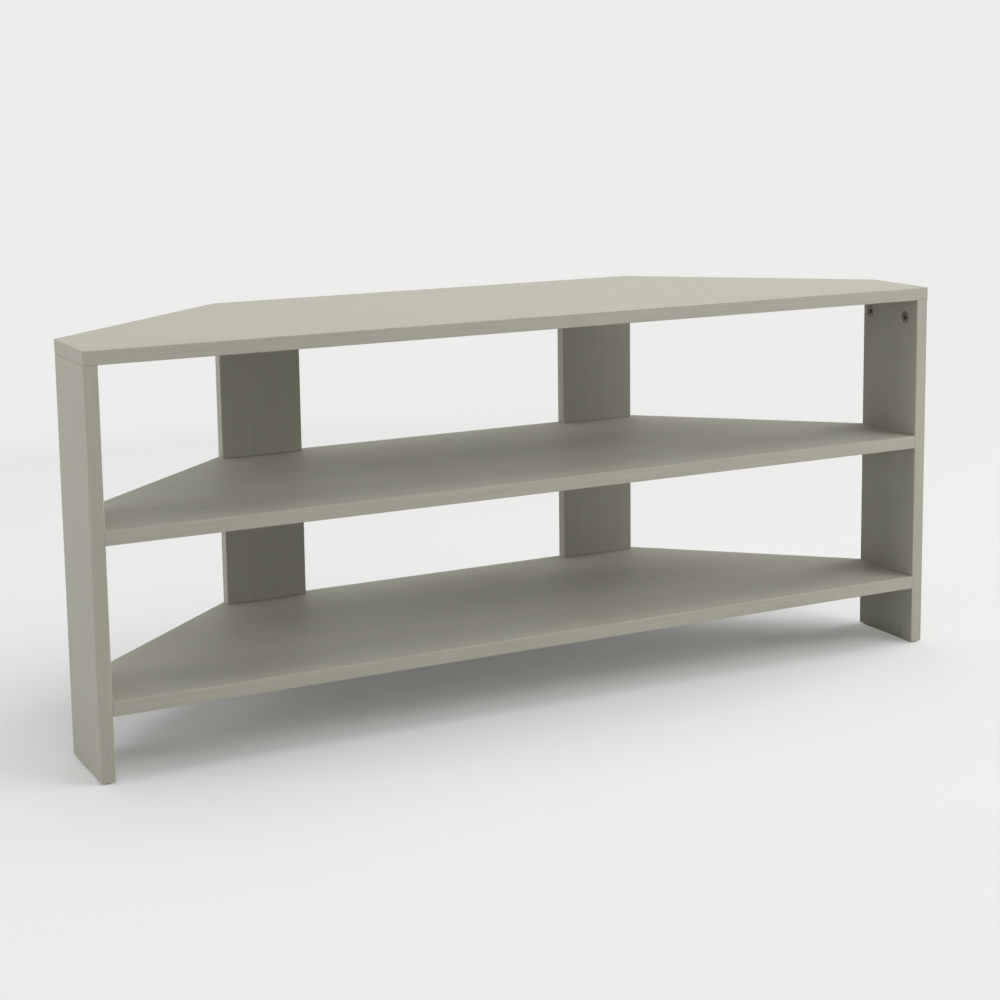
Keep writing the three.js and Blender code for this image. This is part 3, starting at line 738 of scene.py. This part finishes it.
def add_softbox(name, place, aim, width, height, power):
    """Rectangular lamp that looks at its aim and isn't seen itself."""
    lamp = bpy.data.lights.new(name, "AREA")
    lamp.shape = "RECTANGLE"
    lamp.size = width
    lamp.size_y = height
    lamp.energy = power
    softbox = bpy.data.objects.new(name, lamp)
    bpy.context.scene.collection.objects.link(softbox)
    softbox.location = place
    softbox.rotation_euler = (Vector(aim) - Vector(place)).to_track_quat("-Z", "Y").to_euler()
    softbox.visible_camera = False


def add_camera(look):
    """Camera at the photograph's angle, from its yaw, pitch and roll."""
    yaw, pitch, roll = look.camera_yaw, look.camera_pitch, look.camera_roll
    ahead = Vector((math.sin(yaw) * math.cos(pitch), math.cos(yaw) * math.cos(pitch), -math.sin(pitch)))
    level_right = Vector((math.cos(yaw), -math.sin(yaw), 0))
    level_down = ahead.cross(level_right)
    right = level_right * math.cos(roll) + level_down * math.sin(roll)
    down = level_down * math.cos(roll) - level_right * math.sin(roll)
    lens = bpy.data.cameras.new("studio_camera")
    lens.sensor_width = FRAME_WIDTH
    lens.lens = look.lens
    lens.shift_x = look.shift_x
    lens.shift_y = look.shift_y
    camera = bpy.data.objects.new("studio_camera", lens)
    bpy.context.scene.collection.objects.link(camera)
    turn = Matrix((right, -down, -ahead)).transposed()
    camera.matrix_world = Matrix.Translation(look.camera_place) @ turn.to_4x4()
    bpy.context.scene.camera = camera


class SetStudio(bpy.types.Operator):
    """Set up the floor, the lamps and the camera"""
    bl_idname = "corner_stand.set_studio"
    bl_label = "Studio"

    def execute(self, context):
        look = context.scene.corner_stand.studio
        mesh = bpy.data.meshes.new("floor")
        turns = [math.tau * side / FLOOR_SIDES for side in range(FLOOR_SIDES)]
        rim = [(FLOOR_RADIUS * math.cos(turn), FLOOR_RADIUS * math.sin(turn), 0) for turn in turns]
        mesh.from_pydata(rim, [], [tuple(range(FLOOR_SIDES))])
        mesh.materials.append(painted_floor(look))
        floor = bpy.data.objects.new("floor", mesh)
        context.scene.collection.objects.link(floor)
        context.scene.world = studio_world(look)
        for name, softbox in SOFTBOXES.items():
            add_softbox(name, *softbox)
        add_camera(look)
        context.scene.view_settings.view_transform = "Standard"
        return {"FINISHED"}


class StandPanel(bpy.types.Panel):
    """Steps that finish the stand"""
    bl_idname = "VIEW3D_PT_corner_stand"
    bl_label = "Corner stand"
    bl_space_type = "VIEW_3D"
    bl_region_type = "UI"
    bl_category = "Stand"

    def draw(self, context):
        for step in STEPS:
            self.layout.operator(step.bl_idname)


STEPS = (SetStudio, FinishBoards, MakeCams, FinishBolts, FinishDowels, FinishGlides)
CLASSES = (BoardFinish, CamSizes, SmallPartFinish, StudioSettings, StandSettings, *STEPS, StandPanel)


def register():
    for cls in CLASSES:
        bpy.utils.register_class(cls)
    bpy.types.Scene.corner_stand = bpy.props.PointerProperty(type=StandSettings)


def unregister():
    del bpy.types.Scene.corner_stand
    for cls in reversed(CLASSES):
        bpy.utils.unregister_class(cls)


def main():
    register()
    bpy.ops.corner_stand.set_studio()
    bpy.ops.corner_stand.finish_boards()
    bpy.ops.corner_stand.make_cams()
    bpy.ops.corner_stand.finish_bolts()
    bpy.ops.corner_stand.finish_dowels()
    bpy.ops.corner_stand.finish_glides()


if __name__ == "__main__":
    main()
